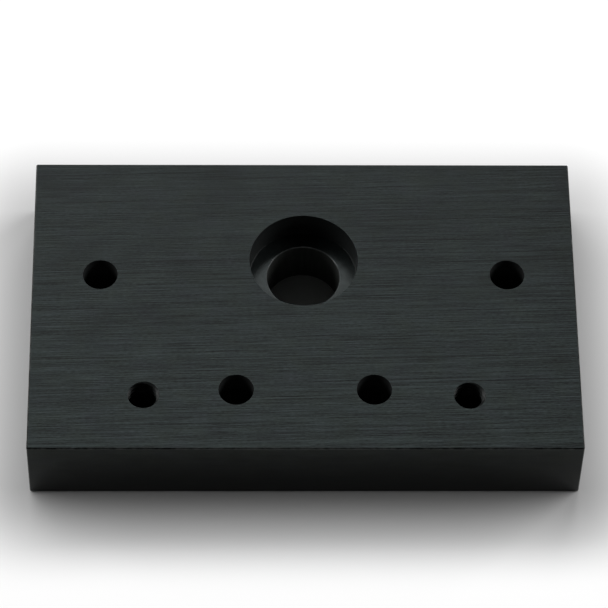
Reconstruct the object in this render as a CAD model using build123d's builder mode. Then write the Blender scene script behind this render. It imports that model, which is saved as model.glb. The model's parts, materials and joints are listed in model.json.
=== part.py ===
# Machined aluminium end block for a wide C-shaped extrusion.
# Four plain holes bolt it to the end of the extrusion. The lead screw turns in a
# ball bearing that sits in the stepped bore, and two tapped holes in front of the
# bore take two of the four screws of the motor's square flange.
#
# The block lies on its plain face. The origin is the middle of that face, +X runs
# along the block, +Y towards the edge nearest the bore, and +Z out of the seat.

from build123d import *
import os

os.makedirs("parts", exist_ok=True)

# The extrusion's screw channels (mm): four columns and two rows of one square grid
grid_pitch = 20.0
grid_columns = 4

# The block: flush with the extrusion at its sides and front
block_thickness = 12.0
bore_from_front = 32.6
bore_from_back = 17.4
edge_break = 0.2

# The lead screw's bore: a seat for the ball bearing and a passage for the screw
bearing_diameter = 16.0
seat_depth = 4.5
passage_diameter = 10.8
passage_edge_break = 0.1

# The screws: plain holes into the extrusion, and tapped ones for the motor, whose
# holes form a square centred on the bore
end_screw_hole_diameter = 5.1
motor_hole_pitch = 47.14
tap_drill_diameter = 4.2

# Sizes and places that follow from those above
block_length = grid_columns * grid_pitch
block_depth = bore_from_front + bore_from_back
front = -block_depth / 2
bore_y = front + bore_from_front
inner_row_y = front + grid_pitch / 2
outer_row_y = inner_row_y + grid_pitch
motor_row_y = bore_y - motor_hole_pitch / 2
inner_hole_spacing = grid_pitch
outer_hole_spacing = (grid_columns - 1) * grid_pitch

with BuildPart() as mounting_block:
    # Milled bar with every outer edge broken
    with BuildSketch():
        Rectangle(block_length, block_depth)
    extrude(amount=block_thickness)
    chamfer(mounting_block.edges(), length=edge_break)

    # Stepped bore
    with Locations((0, bore_y, block_thickness)):
        CounterBoreHole(
            radius=passage_diameter / 2,
            counter_bore_radius=bearing_diameter / 2,
            counter_bore_depth=seat_depth,
        )

    # The passage's upper edge, inside the bearing's shoulder, is broken as well
    bore_circles = mounting_block.edges(Select.LAST).filter_by(GeomType.CIRCLE)
    passage_circles = bore_circles.group_by(SortBy.RADIUS)[0]
    chamfer(passage_circles.sort_by(Axis.Z)[-1], length=passage_edge_break)

    # Plain holes: the inner pair near the front, the outer pair a row further back
    with Locations((0, inner_row_y, block_thickness)):
        with GridLocations(inner_hole_spacing, 0, 2, 1):
            Hole(radius=end_screw_hole_diameter / 2)
    with Locations((0, outer_row_y, block_thickness)):
        with GridLocations(outer_hole_spacing, 0, 2, 1):
            Hole(radius=end_screw_hole_diameter / 2)

    # Tapped holes, at the size that the tap drill leaves
    with Locations((0, motor_row_y, block_thickness)):
        with GridLocations(motor_hole_pitch, 0, 2, 1):
            Hole(radius=tap_drill_diameter / 2)

mounting_block.part.label = "mounting_block"
export_step(mounting_block.part, "parts/mounting_block.step")
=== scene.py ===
# A machined mounting block in brushed, black anodised aluminium, lying on a pale floor.

import json
import math

import bmesh
import bpy
from mathutils import Matrix, Vector


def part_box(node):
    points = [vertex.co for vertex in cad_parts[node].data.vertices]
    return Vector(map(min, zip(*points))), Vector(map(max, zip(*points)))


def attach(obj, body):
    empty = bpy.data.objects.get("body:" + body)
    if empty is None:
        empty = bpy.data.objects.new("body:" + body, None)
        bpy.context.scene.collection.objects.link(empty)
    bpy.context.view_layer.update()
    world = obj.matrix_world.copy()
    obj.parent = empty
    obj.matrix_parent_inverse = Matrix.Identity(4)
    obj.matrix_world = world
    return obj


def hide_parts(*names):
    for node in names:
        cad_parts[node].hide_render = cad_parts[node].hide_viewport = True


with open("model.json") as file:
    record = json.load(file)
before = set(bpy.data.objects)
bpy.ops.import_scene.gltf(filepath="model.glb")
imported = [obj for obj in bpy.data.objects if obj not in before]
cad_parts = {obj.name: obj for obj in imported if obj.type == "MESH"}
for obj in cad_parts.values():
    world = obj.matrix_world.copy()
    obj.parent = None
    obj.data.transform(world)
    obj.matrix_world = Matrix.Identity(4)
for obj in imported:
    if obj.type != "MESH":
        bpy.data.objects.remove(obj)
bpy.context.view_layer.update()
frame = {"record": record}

mm = 0.001

mounts = {mount["name"]: mount for mount in frame["record"]["mounts"]}
low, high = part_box("mounting_block")
thickness = high.z - low.z


# Shader nodes

noiseMiddle = 0.5  # the noise's mean
sameHue = 0.5  # the Hue socket's value that changes nothing


class Wire:  # one output socket, so that shader maths reads as sums
    def __init__(self, tree, socket):
        self.tree = tree
        self.socket = socket

    def maths(self, operation, first, second=0):
        made = self.tree.nodes.new("ShaderNodeMath")
        made.operation = operation
        for socket, value in zip(made.inputs, (first, second)):
            if isinstance(value, Wire):
                self.tree.links.new(value.socket, socket)
            else:
                socket.default_value = value
        return Wire(self.tree, made.outputs[0])

    def __add__(self, other):
        return self.maths("ADD", self, other)

    def __radd__(self, other):
        return self.maths("ADD", other, self)

    def __sub__(self, other):
        return self.maths("SUBTRACT", self, other)

    def __rsub__(self, other):
        return self.maths("SUBTRACT", other, self)

    def __mul__(self, other):
        return self.maths("MULTIPLY", self, other)

    def __rmul__(self, other):
        return self.maths("MULTIPLY", other, self)

    def __abs__(self):
        return self.maths("ABSOLUTE", self)


class Finish:  # a material and the ways to add to its nodes
    def __init__(self, name):
        self.material = bpy.data.materials.new(name)
        self.material.use_nodes = True
        self.tree = self.material.node_tree
        self.tree.nodes.clear()

    def node(self, kind, settings=None, sockets=None, out=0):
        made = self.tree.nodes.new(kind)
        for key, value in (settings or {}).items():
            setattr(made, key, value)
        for key, value in (sockets or {}).items():
            if isinstance(value, Wire):
                self.tree.links.new(value.socket, made.inputs[key])
            else:
                made.inputs[key].default_value = value
        return Wire(self.tree, made.outputs[out])

    def clamp(self, value):
        return self.node("ShaderNodeClamp", None, {"Value": value})

    def along(self, axis):  # how far along the object's own X, Y or Z
        place = self.node("ShaderNodeTexCoord", out="Object")
        return self.node("ShaderNodeSeparateXYZ", None, {"Vector": place}, axis)

    def grain(self, layer, slant=0.0):  # noise about zero, in lumps of the layer's size
        place = self.node("ShaderNodeTexCoord", out="Object")
        place = self.node("ShaderNodeMapping", None, {"Vector": place, "Rotation": (0, 0, -slant)})
        scale = tuple(1 / length for length in layer["size"])
        place = self.node(
            "ShaderNodeMapping", None, {"Vector": place, "Location": layer["seed"], "Scale": scale}
        )
        noise = self.node(
            "ShaderNodeTexNoise", None, {"Vector": place, "Scale": 1.0, "Detail": layer["detail"]}
        )
        return noise - noiseMiddle

    def marks(self, layer, slant=0.0):  # 1 where the noise is well over the threshold, 0 under it
        return self.clamp(layer["gain"] * (self.grain(layer, slant) - layer["threshold"]))

    def shade(self, tone, settings):  # from the dark colour at 0 to the light one at 1
        colours = {0: self.clamp(tone), 6: settings["dark"], 7: settings["light"]}
        return self.node("ShaderNodeMix", {"data_type": "RGBA"}, colours, 2)  # its colour sockets

    def shiftHue(self, colour, shift):
        return self.node(
            "ShaderNodeHueSaturation", None, {"Color": colour, "Hue": sameHue + shift}
        )

    def metal(self, colour, settings, varied=None):  # varied holds the other sockets that vary
        sockets = {
            "Base Color": colour,
            "Metallic": settings["metallic"],
            "Specular IOR Level": settings["specular"],
            "Roughness": settings["roughness"],
        }
        sockets.update(varied or {})
        return self.done(self.node("ShaderNodeBsdfPrincipled", None, sockets))

    def done(self, shader):
        output = self.tree.nodes.new("ShaderNodeOutputMaterial")
        self.tree.links.new(shader.socket, output.inputs["Surface"])
        return self.material


# The two large faces, brushed along the block, with painted light toward the front edge and
# painted shade at the right end

brushed = {
    "dark": (0.0040, 0.0053, 0.0052, 1),
    "light": (0.0323, 0.0434, 0.0428, 1),
    "tone": 0.41,
    "metallic": 0.3,
    "specular": 0.12,
    "roughness": 0.4,
    "bumpHeight": 0.012 * mm,
    "slant": math.radians(1.6),  # of the streaks, from straight along the block
    "longStreak": {"size": (24 * mm, 0.13 * mm, 0.13 * mm), "seed": (3, 7, 1), "detail": 3},
    "shortStreak": {"size": (5 * mm, 0.11 * mm, 0.11 * mm), "seed": (9, 2, 5), "detail": 2},
    "hair": {"size": (0.7 * mm, 0.1 * mm, 0.1 * mm), "seed": (5, 3, 8), "detail": 1},
    "darkLine": {
        "size": (34 * mm, 0.13 * mm, 0.13 * mm),
        "seed": (1, 4, 2),
        "detail": 1,
        "threshold": 0.14,
        "gain": 12,
    },
    "speck": {
        "size": (0.3 * mm, 0.14 * mm, 0.14 * mm),
        "seed": (6, 8, 3),
        "detail": 1,
        "threshold": 0.22,
        "gain": 9,
    },
    "cloud": {"size": (9 * mm, 6 * mm, 6 * mm), "seed": (4, 4, 4), "detail": 2},
    "tint": {"size": (4 * mm, 3 * mm, 3 * mm), "seed": (7, 2, 9), "detail": 1},
    "longWeight": 1.3,
    "shortWeight": 1.1,
    "hairWeight": 0.8,
    "lineWeight": 0.4,
    "speckWeight": 0.35,
    "cloudWeight": 0.35,
    "hueShift": -0.16,
    "streakRoughness": 0.15,
    "cloudStreaks": 1.1,  # how much deeper the streaks are in a cloud
    "frontStreaks": 0.42,  # and at the front edge
    # painted light: how much lighter the tone gets toward the front edge
    "frontPaintedLight": 0.1,
    "rightEndFrom": 0.67,  # as a share of half the length
    "rightEndGain": 3,
    "rightStreaks": 0.2,
    "rightLines": 0.35,
    # painted shade: how much darker the tone gets at the right end
    "rightEndPaintedShade": -0.06,
}


def makeBrushed():
    finish = Finish("brushed_face")
    slant = brushed["slant"]
    longStreak = finish.grain(brushed["longStreak"], slant)
    shortStreak = finish.grain(brushed["shortStreak"], slant)
    hair = finish.grain(brushed["hair"], slant)
    darkLine = finish.marks(brushed["darkLine"], slant)
    speck = finish.marks(brushed["speck"])
    cloud = finish.grain(brushed["cloud"])
    tint = finish.grain(brushed["tint"])
    across = finish.along("X") * (1 / high.x)
    nearness = finish.along("Y") * (-1 / high.y)  # 1 at the front edge and -1 at the back
    # 1 over the right end, where the tone gets painted shade and the streaks and dark lines run
    # deeper
    rightEnd = finish.clamp(brushed["rightEndGain"] * (across - brushed["rightEndFrom"]))
    streaks = longStreak * brushed["longWeight"] + shortStreak * brushed["shortWeight"]
    streaks = streaks + hair * brushed["hairWeight"]
    strength = 1 + nearness * brushed["frontStreaks"] + cloud * brushed["cloudStreaks"]
    strength = strength + rightEnd * brushed["rightStreaks"]
    tone = brushed["tone"] + streaks * strength
    tone = tone + cloud * brushed["cloudWeight"] + speck * brushed["speckWeight"]
    tone = tone - darkLine * (brushed["lineWeight"] + rightEnd * brushed["rightLines"])
    # painted light toward the front edge and painted shade at the right end, laid into the tone
    tone = tone + nearness * brushed["frontPaintedLight"] + rightEnd * brushed["rightEndPaintedShade"]
    colour = finish.shiftHue(finish.shade(tone, brushed), tint * brushed["hueShift"])
    roughness = brushed["roughness"] + longStreak * brushed["streakRoughness"]
    normal = finish.node(
        "ShaderNodeBump",
        None,
        {"Height": streaks, "Distance": brushed["bumpHeight"], "Strength": 1.0},
    )
    return finish.metal(colour, brushed, {"Roughness": roughness, "Normal": normal})


# The four sides, plainer than the faces

plain = {
    "dark": (0.0032, 0.0044, 0.0038, 1),
    "light": (0.0132, 0.0157, 0.0143, 1),
    "tone": 0.5,
    "metallic": 1.0,
    "specular": 0.5,
    "roughness": 0.18,
    "line": {"size": (11 * mm, 11 * mm, 0.16 * mm), "seed": (2, 5, 8), "detail": 2},
    "blotch": {"size": (3.2 * mm, 3.2 * mm, 1.6 * mm), "seed": (5, 1, 3), "detail": 2},
    "grit": {"size": (0.3 * mm, 0.3 * mm, 0.2 * mm), "seed": (3, 8, 6), "detail": 1},
    "tint": {"size": (5 * mm, 5 * mm, 3 * mm), "seed": (6, 4, 1), "detail": 1},
    "lineWeight": 0.9,
    "blotchWeight": 0.9,
    "gritWeight": 0.7,
    "hueShift": 0.3,
    "blotchRoughness": 0.06,
}


def makePlain():
    finish = Finish("plain_side")
    line = finish.grain(plain["line"])
    blotch = finish.grain(plain["blotch"])
    grit = finish.grain(plain["grit"])
    tint = finish.grain(plain["tint"])
    tone = plain["tone"] + line * plain["lineWeight"] + blotch * plain["blotchWeight"]
    tone = tone + grit * plain["gritWeight"]
    colour = finish.shiftHue(finish.shade(tone, plain), tint * plain["hueShift"])
    roughness = plain["roughness"] + blotch * plain["blotchRoughness"]
    return finish.metal(colour, plain, {"Roughness": roughness})


# The broken upper edges, rubbed lighter in places

rubbed = {
    "dark": (0.006, 0.007, 0.0065, 1),
    "light": (0.075, 0.080, 0.078, 1),
    "tone": 0.25,
    "metallic": 0.5,
    "specular": 0.15,
    "roughness": 0.35,
    "stretch": {"size": (11 * mm, 11 * mm, 11 * mm), "seed": (2, 6, 3), "detail": 1},
    "nick": {"size": (0.9 * mm, 0.9 * mm, 0.9 * mm), "seed": (8, 3, 5), "detail": 2},
    "stretchWeight": 1.4,
    "nickWeight": 1.6,
}


def makeRubbed():
    finish = Finish("broken_edge")
    stretch = finish.grain(rubbed["stretch"])
    nick = finish.grain(rubbed["nick"])
    tone = rubbed["tone"] + stretch * rubbed["stretchWeight"] + nick * rubbed["nickWeight"]
    return finish.metal(finish.shade(tone, rubbed), rubbed)


# What the drills and cutters left inside the holes, with a painted reflection on the passage wall

bored = {
    "seat": {
        "material": "seat_wall",
        "dark": (0.020, 0.022, 0.022, 1),
        "light": (0.030, 0.033, 0.033, 1),
        "metallic": 0.3,
        "specular": 0.15,
        "roughness": 0.35,
        "spotHeight": 0.2 * mm,
    },
    "hole": {
        "material": "hole_wall",
        "dark": (0.028, 0.030, 0.030, 1),
        "light": (0.042, 0.044, 0.044, 1),
        "metallic": 0.3,
        "specular": 0.15,
        "roughness": 0.3,
        "spotHeight": 0.2 * mm,
    },
    "thread": {
        "material": "thread_wall",
        "dark": (0.008, 0.009, 0.009, 1),
        "light": (0.022, 0.024, 0.024, 1),
        "metallic": 0.3,
        "specular": 0.12,
        "roughness": 0.32,
        "spotHeight": 0.2 * mm,
    },
    # lighter than the other bore walls: its bored finish plus a painted reflection of lit floor
    # below the bore
    "passage": {
        "material": "passage_wall_painted_reflection",
        "dark": (0.042, 0.046, 0.043, 1),
        "light": (0.080, 0.085, 0.080, 1),
        "metallic": 0.3,
        "specular": 0.15,
        "roughness": 0.3,
        "spotHeight": 8 * mm,
    },
    "shoulder": {
        "material": "shoulder_wall",
        "dark": (0.05, 0.055, 0.055, 1),
        "light": (0.13, 0.14, 0.14, 1),
        "metallic": 0.3,
        "specular": 0.3,
        "roughness": 0.3,
        "spotHeight": 0.2 * mm,
    },
    "turned": {
        "material": "seat_floor",
        "dark": (0.018, 0.0215, 0.0215, 1),
        "light": (0.030, 0.036, 0.036, 1),
        "metallic": 0.5,
        "specular": 0.15,
        "roughness": 0.28,
        "spotHeight": 0.2 * mm,
    },
}

spots = {"width": 0.6 * mm, "seed": (6, 1, 3), "detail": 2, "tone": 0.5, "weight": 1.5}


def makeBored(settings):
    finish = Finish(settings["material"])
    size = (spots["width"], spots["width"], settings["spotHeight"])
    spot = finish.grain({"size": size, "seed": spots["seed"], "detail": spots["detail"]})
    return finish.metal(finish.shade(spots["tone"] + spot * spots["weight"], settings), settings)


finishes = {"brushed": makeBrushed(), "plain": makePlain(), "edge": makeRubbed()}
finishes.update({name: makeBored(settings) for name, settings in bored.items()})
finishNames = list(finishes)
print("finishes made")


# The block

block = {
    "edgeRound": 0.2 * mm,
    "cornerRound": 0.25 * mm,
    "rimRound": 0.02 * mm,
    "shoulderBreak": 0.1 * mm,
    "seatCorner": 0.08 * mm,
    "roundSteps": 4,
    "ringPoints": 128,
    "sharpAngle": math.radians(40),
}

thread = {
    "pitch": 0.8 * mm,
    "majorRadius": 2.5 * mm,
    "rootFlat": 0.1 * mm,
    "flankAngle": math.radians(30),
    "stepsPerPitch": 16,
    "starts": {  # where each groove leaves the top, anticlockwise from +X
        "left_motor_thread": math.radians(20),
        "right_motor_thread": math.radians(-10),
    },
}


def addToScene(name, data):
    item = bpy.data.objects.new(name, data)
    bpy.context.scene.collection.objects.link(item)
    return item


def quarterTurn(steps):
    return [math.pi / 2 * step / steps for step in range(steps + 1)]


def outline(inset, height):  # the block seen from above, drawn in by inset
    radius = block["cornerRound"] - inset
    points = []
    for turn, (alongX, alongY) in enumerate(((1, 1), (-1, 1), (-1, -1), (1, -1))):
        centreX = alongX * (high.x - block["cornerRound"])
        centreY = alongY * (high.y - block["cornerRound"])
        for angle in quarterTurn(block["roundSteps"]):
            angle += turn * math.pi / 2
            points.append(
                (centreX + radius * math.cos(angle), centreY + radius * math.sin(angle), height)
            )
    return points


def circle(centre, radius, height):  # radius is a length, or gives one for an angle and height
    points = []
    for step in range(block["ringPoints"]):
        angle = 2 * math.pi * step / block["ringPoints"]
        reach = radius(angle, height) if callable(radius) else radius
        points.append(
            (centre.x + reach * math.cos(angle), centre.y + reach * math.sin(angle), height)
        )
    return points


def addRings(mesh, outlines):
    return [[mesh.verts.new(point) for point in points] for points in outlines]


def addTurnedRings(mesh, centre, profile):  # one ring for each radius and height
    return addRings(mesh, [circle(centre, radius, height) for radius, height in profile])


def addBand(mesh, rings, finish, smooth=True):  # faces between each ring and the next
    for upper, lower in zip(rings, rings[1:]):
        for here in range(len(upper)):
            face = mesh.faces.new((upper[here - 1], upper[here], lower[here], lower[here - 1]))
            face.material_index = finishNames.index(finish)
            face.smooth = smooth


def addFlat(mesh, rings, finish):  # one flat face with holes in it
    edges = []
    for ring in rings:
        for here in range(len(ring)):
            edges.append(mesh.edges.get((ring[here - 1], ring[here])))
    made = bmesh.ops.triangle_fill(mesh, edges=edges, use_beauty=True, normal=(0, 0, 1))
    for face in made["geom"]:
        if isinstance(face, bmesh.types.BMFace):
            face.material_index = finishNames.index(finish)
            face.smooth = False


def addShell(mesh):  # the outside, whose upper round is rubbed and whose lower one isn't
    rounds = [
        (block["edgeRound"] * (1 - math.sin(angle)), block["edgeRound"] * (1 - math.cos(angle)))
        for angle in quarterTurn(block["roundSteps"])
    ]
    levels = [(inset, high.z - drop) for inset, drop in rounds]
    levels += [(inset, low.z + drop) for inset, drop in reversed(rounds)]
    rings = addRings(mesh, [outline(inset, height) for inset, height in levels])
    middle = len(rings) // 2
    addBand(mesh, rings[:middle], "edge")
    addBand(mesh, rings[middle - 1 :], "plain")
    return rings[0], rings[-1]


def addPlainHole(mesh, centre, radius):
    rim = block["rimRound"]
    profile = [
        (radius + rim, high.z),
        (radius, high.z - rim),
        (radius, low.z + rim),
        (radius + rim, low.z),
    ]
    rings = addTurnedRings(mesh, centre, profile)
    addBand(mesh, rings, "hole")
    return rings[0], rings[-1]


def addSteppedBore(mesh, centre, seatRadius, seatDepth, passageRadius):
    rim = block["rimRound"]
    corner = block["seatCorner"]
    shoulder = block["shoulderBreak"]
    seatFloor = high.z - seatDepth
    wall = [(seatRadius + rim, high.z), (seatRadius, high.z - rim)]
    wall += [
        (
            seatRadius - corner * (1 - math.cos(angle)),
            seatFloor + corner * (1 - math.sin(angle)),
        )
        for angle in quarterTurn(block["roundSteps"])
    ]
    passage = [
        (passageRadius + shoulder, seatFloor),
        (passageRadius, seatFloor - shoulder),
        (passageRadius, low.z + rim),
        (passageRadius + rim, low.z),
    ]
    wallRings = addTurnedRings(mesh, centre, wall)
    passageRings = addTurnedRings(mesh, centre, passage)
    addBand(mesh, wallRings, "seat")
    addBand(mesh, [wallRings[-1], passageRings[0]], "turned", False)
    addBand(mesh, passageRings[:2], "shoulder")
    addBand(mesh, passageRings[1:], "passage")
    return wallRings[0], passageRings[-1]


def addTappedHole(mesh, centre, minorRadius, start):
    pitch = thread["pitch"]
    slope = math.tan(thread["flankAngle"])

    def radiusAt(angle, height):  # a right-hand thread, whose groove leaves the top at start
        turns = (height - high.z) / pitch - (angle - start) / (2 * math.pi)
        offset = abs(turns - round(turns)) * pitch
        depth = max(offset - thread["rootFlat"] / 2, 0) / slope
        return max(thread["majorRadius"] - depth, minorRadius)

    steps = round(thickness / pitch * thread["stepsPerPitch"])
    heights = [high.z - thickness * step / steps for step in range(steps + 1)]
    rings = addTurnedRings(mesh, centre, [(radiusAt, height) for height in heights])
    addBand(mesh, rings, "thread")
    return rings[0], rings[-1]


def patternCentres(mount):
    middle = Vector(mount["pos_m"])
    reach = mount["dims"]["spacing_x_mm"] * mm / 2
    return [middle + Vector((side * reach, 0, 0)) for side in (-1, 1)]


def makeBlock():
    mesh = bmesh.new()
    ends = [addShell(mesh)]  # each form's ring in the upper face and its ring in the lower one
    seat = mounts["bearing_seat"]
    passage = mounts["screw_passage"]
    ends.append(
        addSteppedBore(
            mesh,
            Vector(seat["pos_m"]),
            seat["dims"]["r_mm"] * mm,
            seat["dims"]["length_mm"] * mm,
            passage["dims"]["r_mm"] * mm,
        )
    )
    for name in ("outer_end_screws", "inner_end_screws"):
        for centre in patternCentres(mounts[name]):
            ends.append(addPlainHole(mesh, centre, mounts[name]["dims"]["hole_r_mm"] * mm))
    for name, start in thread["starts"].items():
        centre = Vector(mounts[name]["pos_m"])
        ends.append(addTappedHole(mesh, centre, mounts[name]["dims"]["r_mm"] * mm, start))
    addFlat(mesh, [upper for upper, lower in ends], "brushed")
    addFlat(mesh, [lower for upper, lower in ends], "brushed")
    bmesh.ops.recalc_face_normals(mesh, faces=mesh.faces)
    for edge in mesh.edges:
        edge.smooth = edge.calc_face_angle(0) < block["sharpAngle"]
    data = bpy.data.meshes.new("block")
    mesh.to_mesh(data)
    mesh.free()
    for material in finishes.values():
        data.materials.append(material)
    return addToScene("block", data)


blockPiece = makeBlock()
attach(blockPiece, "root")
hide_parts("mounting_block")
print("block made:", len(blockPiece.data.polygons), "faces")


# The stage

stage = {
    "floorSize": 4.0,
    "floorGap": 0.02 * mm,
    "floorColour": (0.7, 0.7, 0.7, 1),
    "floorRoughness": 0.8,
    "floorGlow": 0.42,  # lifts the floor to white, but fades out near the block and is withheld beneath it, painting shade there over its real shadow
    "glowReach": 16 * mm,  # from the block to where the glow is full
    "worldColour": (1, 1, 1, 1),
    "worldStrength": 0.004,
}

# Lamps and camera stand around the block: azimuth is from straight behind it, towards its right
lamps = {
    "key": {
        "azimuth": math.radians(-12),
        "elevation": math.radians(47),
        "distance": 1.2,
        "width": 1.1,
        "height": 0.36,
        "glow": 6.2,
    },
    "left": {
        "azimuth": math.radians(-72),
        "elevation": math.radians(30),
        "distance": 1.1,
        "width": 0.9,
        "height": 0.34,
        "glow": 5.5,
    },
    "right": {
        "azimuth": math.radians(72),
        "elevation": math.radians(30),
        "distance": 1.1,
        "width": 0.9,
        "height": 0.34,
        "glow": 8.0,
    },
    "front": {
        "azimuth": math.radians(180),
        "elevation": math.radians(36),
        "distance": 1.3,
        "width": 1.0,
        "height": 0.2,
        "glow": 0.5,
    },
}

camera = {
    "lens": 219.4,
    "clipStart": 0.01,
    "azimuth": math.radians(182.095),
    "elevation": math.radians(56.498),
    "distance": 0.54375,
    "roll": math.radians(1.793),
    "aimShift": (-0.03 * mm, -0.17 * mm, 0),  # from the middle of the upper face
}


def makeFloorFinish():
    finish = Finish("floor")
    matt = finish.node(
        "ShaderNodeBsdfPrincipled",
        None,
        {"Base Color": stage["floorColour"], "Roughness": stage["floorRoughness"]},
    )
    glow = finish.node("ShaderNodeEmission", None, {"Strength": stage["floorGlow"]})
    lifted = finish.node("ShaderNodeAddShader", None, {0: matt, 1: glow})
    seen = finish.node("ShaderNodeLightPath", out="Is Camera Ray")
    for ray in ("Is Glossy Ray", "Is Transmission Ray"):
        seen = seen + finish.node("ShaderNodeLightPath", out=ray)
    # painted shade: the glow is withheld under the block and fades in over glowReach around it, so
    # the floor near it and through its holes stays dark
    gaps = []
    for axis, side in (("X", high.x), ("Y", high.y)):
        beyond = abs(finish.along(axis)) - side
        gaps.append(beyond.maths("MAXIMUM", beyond, 0) * (1 / stage["glowReach"]))
    away = gaps[0] * gaps[0] + gaps[1] * gaps[1]
    away = finish.clamp(away.maths("SQRT", away))
    lift = finish.clamp(seen) * away * away * (3 - 2 * away)  # a soft start and a soft end
    return finish.done(finish.node("ShaderNodeMixShader", None, {0: lift, 1: matt, 2: lifted}))


def makeFloor():
    half = stage["floorSize"] / 2
    height = low.z - stage["floorGap"]
    corners = [(-half, -half), (half, -half), (half, half), (-half, half)]
    data = bpy.data.meshes.new("floor")
    data.from_pydata([(x, y, height) for x, y in corners], [], [(0, 1, 2, 3)])
    data.materials.append(makeFloorFinish())
    return addToScene("floor", data)


def direction(settings):
    flat = math.cos(settings["elevation"])
    return Vector(
        (
            flat * math.sin(settings["azimuth"]),
            flat * math.cos(settings["azimuth"]),
            math.sin(settings["elevation"]),
        )
    )


def makeLamp(name, settings, aim):
    data = bpy.data.lights.new(name, "AREA")
    data.shape = "RECTANGLE"
    data.size = settings["width"]
    data.size_y = settings["height"]
    data.energy = settings["glow"] * math.pi * settings["width"] * settings["height"]
    away = direction(settings)
    lamp = addToScene(name, data)
    lamp.location = aim + settings["distance"] * away
    lamp.rotation_euler = (-away).to_track_quat("-Z", "Y").to_euler()


def makeWorld():
    world = bpy.data.worlds.new("studio")
    world.use_nodes = True
    background = world.node_tree.nodes["Background"]
    background.inputs["Color"].default_value = stage["worldColour"]
    background.inputs["Strength"].default_value = stage["worldStrength"]
    bpy.context.scene.world = world


def makeCamera(aim):
    data = bpy.data.cameras.new("camera")
    data.lens = camera["lens"]
    data.clip_start = camera["clipStart"]
    place = aim + camera["distance"] * direction(camera)
    turn = (aim - place).to_track_quat("-Z", "Y").to_matrix().to_4x4()
    item = addToScene("camera", data)
    item.matrix_world = Matrix.Translation(place) @ turn @ Matrix.Rotation(camera["roll"], 4, "Z")
    bpy.context.scene.camera = item


faceMiddle = Vector(((low.x + high.x) / 2, (low.y + high.y) / 2, high.z))
makeFloor()
for lampName, lampSettings in lamps.items():
    makeLamp(lampName, lampSettings, faceMiddle)
makeWorld()
makeCamera(faceMiddle + Vector(camera["aimShift"]))
bpy.context.scene.view_settings.view_transform = "Standard"
print("stage, lamps and camera set")
